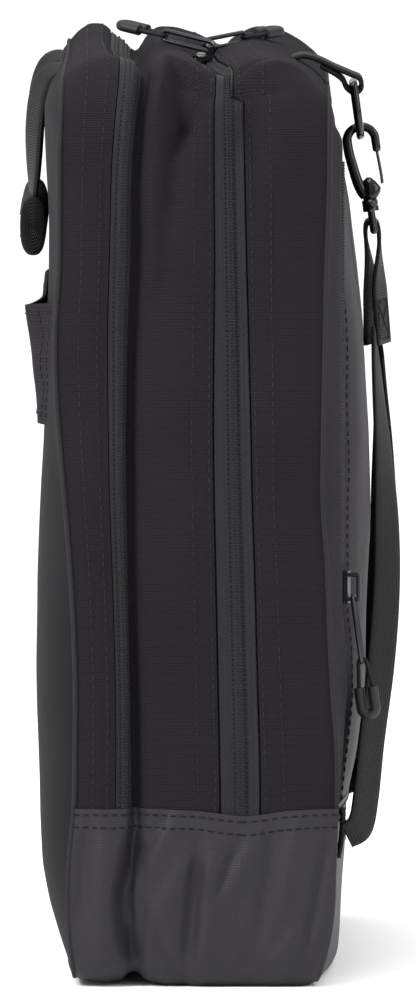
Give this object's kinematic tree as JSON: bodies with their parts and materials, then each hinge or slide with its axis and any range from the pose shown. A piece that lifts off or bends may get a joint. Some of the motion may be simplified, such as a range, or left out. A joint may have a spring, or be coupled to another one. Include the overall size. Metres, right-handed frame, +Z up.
{
  "type": "flight bag",
  "caption": "Upright soft flight bag with zipped main and front compartments, padded back pocket, carry handle, luggage band and clip-on shoulder harness.",
  "frame": {"origin": "centre of the flat base, on the floor", "axes": "+Z up, +X towards the padded back with the harness, -X towards the front panel with the carry handle, Y across the width"},
  "size_m": [0.1955, 0.3275, 0.4625],
  "materials": {
    "coated_fabric": "coated plain-weave nylon",
    "smooth_fabric": "smooth close-knit facing",
    "ribbed_fabric": "ribbed upholstery weave",
    "padding_fabric": "quilted padded weave",
    "lining": "smooth lining",
    "stiffener": "matt sheet",
    "zip_tape": "herringbone tape with moulded coils",
    "webbing": "woven webbing",
    "grip_webbing": "ribbed webbing over padding",
    "band_fabric": "brushed knit on foam",
    "dark_metal": "dark satin plating",
    "cord": "braided cord",
    "pull_rubber": "matt moulded rubber",
    "black_metal": "gloss black plating"
  },
  "bodies": {
    "bag": {"boot": "coated_fabric", "boot_fold": "coated_fabric", "bottom_board": "stiffener", "front_panel_lower": "smooth_fabric", "front_panel_fold": "smooth_fabric", "divider_lower": "lining", "divider_fold": "lining", "rear_gusset": "ribbed_fabric", "main_zip_rear_stringer": "zip_tape", "back_panel": "padding_fabric", "back_pocket": "coated_fabric", "pocket_zip_stringers": "zip_tape", "device_sleeve": "lining", "ring_tab": "webbing", "strap_anchors": "webbing", "strap_near": "webbing", "strap_far": "webbing"},
    "main_front": {"divider_panel": "lining", "main_front_gusset": "ribbed_fabric", "main_zip_front_stringer": "zip_tape", "cover_zip_inner_stringer": "zip_tape", "organiser_pocket": "lining"},
    "cover": {"cover_gusset": "ribbed_fabric", "cover_zip_outer_stringer": "zip_tape", "front_panel": "smooth_fabric", "luggage_band": "band_fabric", "handle_ends": "webbing"},
    "handle": {"handle_webbing": "webbing", "handle_grip": "grip_webbing"},
    "main_slider_near": {"main_slider_near": "dark_metal"},
    "main_pull_near": {"main_tab_near": "dark_metal"},
    "main_cord_near": {"main_cord_near": "cord", "main_grip_near": "pull_rubber"},
    "main_slider_far": {"main_slider_far": "dark_metal"},
    "main_pull_far": {"main_tab_far": "dark_metal"},
    "main_cord_far": {"main_cord_far": "cord", "main_grip_far": "pull_rubber"},
    "cover_slider": {"cover_slider": "dark_metal"},
    "cover_pull": {"cover_tab": "dark_metal"},
    "cover_cord": {"cover_cord": "cord", "cover_grip": "pull_rubber"},
    "pocket_slider": {"pocket_slider": "dark_metal"},
    "pocket_pull": {"pocket_tab": "dark_metal"},
    "pocket_cord": {"pocket_cord": "cord", "pocket_grip": "pull_rubber"},
    "harness": {"d_ring": "black_metal", "hook_eye": "black_metal", "harness_yoke": "webbing"},
    "hook": {"snap_hook": "black_metal"},
    "gate": {"hook_gate": "black_metal"}
  },
  "joints": [
    {"name": "main_opening", "type": "hinge", "parent": "bag", "child": "main_front", "pos_m": [0.014, 0, 0.088], "axis": [0, -1, 0], "range_deg": [0, 12], "deforming": ["boot_fold", "front_panel_fold", "divider_fold"]},
    {"name": "cover_opening", "type": "hinge", "parent": "main_front", "child": "cover", "pos_m": [-0.041, 0, 0.088], "axis": [0, -1, 0], "range_deg": [0, 18], "deforming": ["boot_fold", "front_panel_fold"]},
    {"name": "handle_swing", "type": "hinge", "parent": "cover", "child": "handle", "pos_m": [-0.076, 0, 0.4365], "axis": [0, 1, 0], "range_deg": [0, 140]},
    {"name": "main_slide_near", "type": "slide", "parent": "bag", "child": "main_slider_near", "axis": [0.0956, -0.9954, 0], "range_m": [0, 0.1]},
    {"name": "main_pull_near", "type": "hinge", "parent": "main_slider_near", "child": "main_pull_near", "pos_m": [0.00292, -0.00956, 0.4513], "axis": [-0.0956, 0.9954, 0], "range_deg": [0, 150]},
    {"name": "main_cord_near", "type": "hinge", "parent": "main_pull_near", "child": "main_cord_near", "pos_m": [-0.02004, 0.00838, 0.45592], "axis": [-0.1233, 0.0963, -0.9877], "range_deg": [-25, 25]},
    {"name": "main_slide_far", "type": "slide", "parent": "bag", "child": "main_slider_far", "axis": [0.0956, 0.9954, 0], "range_m": [0, 0.1]},
    {"name": "main_pull_far", "type": "hinge", "parent": "main_slider_far", "child": "main_pull_far", "pos_m": [0.00292, 0.00956, 0.4513], "axis": [-0.0956, -0.9954, 0], "range_deg": [0, 150]},
    {"name": "main_cord_far", "type": "hinge", "parent": "main_pull_far", "child": "main_cord_far", "pos_m": [0.02104, 0.03275, 0.45336], "axis": [0.0429, 0.055, -0.9976], "range_deg": [-25, 25]},
    {"name": "cover_slide", "type": "slide", "parent": "main_front", "child": "cover_slider", "axis": [0, 0, 1], "range_m": [0, 0.28]},
    {"name": "cover_pull_swing", "type": "hinge", "parent": "cover_slider", "child": "cover_pull", "pos_m": [-0.041, 0.159, 0.104], "axis": [0, 1, 0], "range_deg": [-35, 35]},
    {"name": "cover_cord_swing", "type": "hinge", "parent": "cover_pull", "child": "cover_cord", "pos_m": [-0.041, 0.16339, 0.07276], "axis": [1, 0, 0], "range_deg": [0, 25]},
    {"name": "pocket_slide", "type": "slide", "parent": "bag", "child": "pocket_slider", "axis": [0, 0, 1], "range_m": [0, 0.19]},
    {"name": "pocket_pull_swing", "type": "hinge", "parent": "pocket_slider", "child": "pocket_pull", "pos_m": [0.07375, -0.12583, 0.188], "axis": [0.9781, -0.2083, 0], "range_deg": [-35, 35]},
    {"name": "pocket_cord_swing", "type": "hinge", "parent": "pocket_pull", "child": "pocket_cord", "pos_m": [0.07804, -0.12675, 0.15676], "axis": [-0.2083, -0.9781, 0], "range_deg": [0, 25]},
    {"name": "harness_swing", "type": "hinge", "parent": "bag", "child": "harness", "pos_m": [0.0745, 0, 0.432], "axis": [0, -1, 0], "range_deg": [0, 15], "deforming": ["strap_near", "strap_far"]},
    {"name": "hook_swivel", "type": "hinge", "parent": "harness", "child": "hook", "pos_m": [0.0822, 0, 0.37724], "axis": [-0.1392, 0, 0.9903], "range_deg": [-20, 20]},
    {"name": "gate_swing", "type": "hinge", "parent": "hook", "child": "gate", "pos_m": [0.08842, 0, 0.38326], "axis": [0, -1, 0], "range_deg": [0, 22], "stiffness_Nm_per_rad": 0.02, "springref_deg": -5.73}
  ]
}
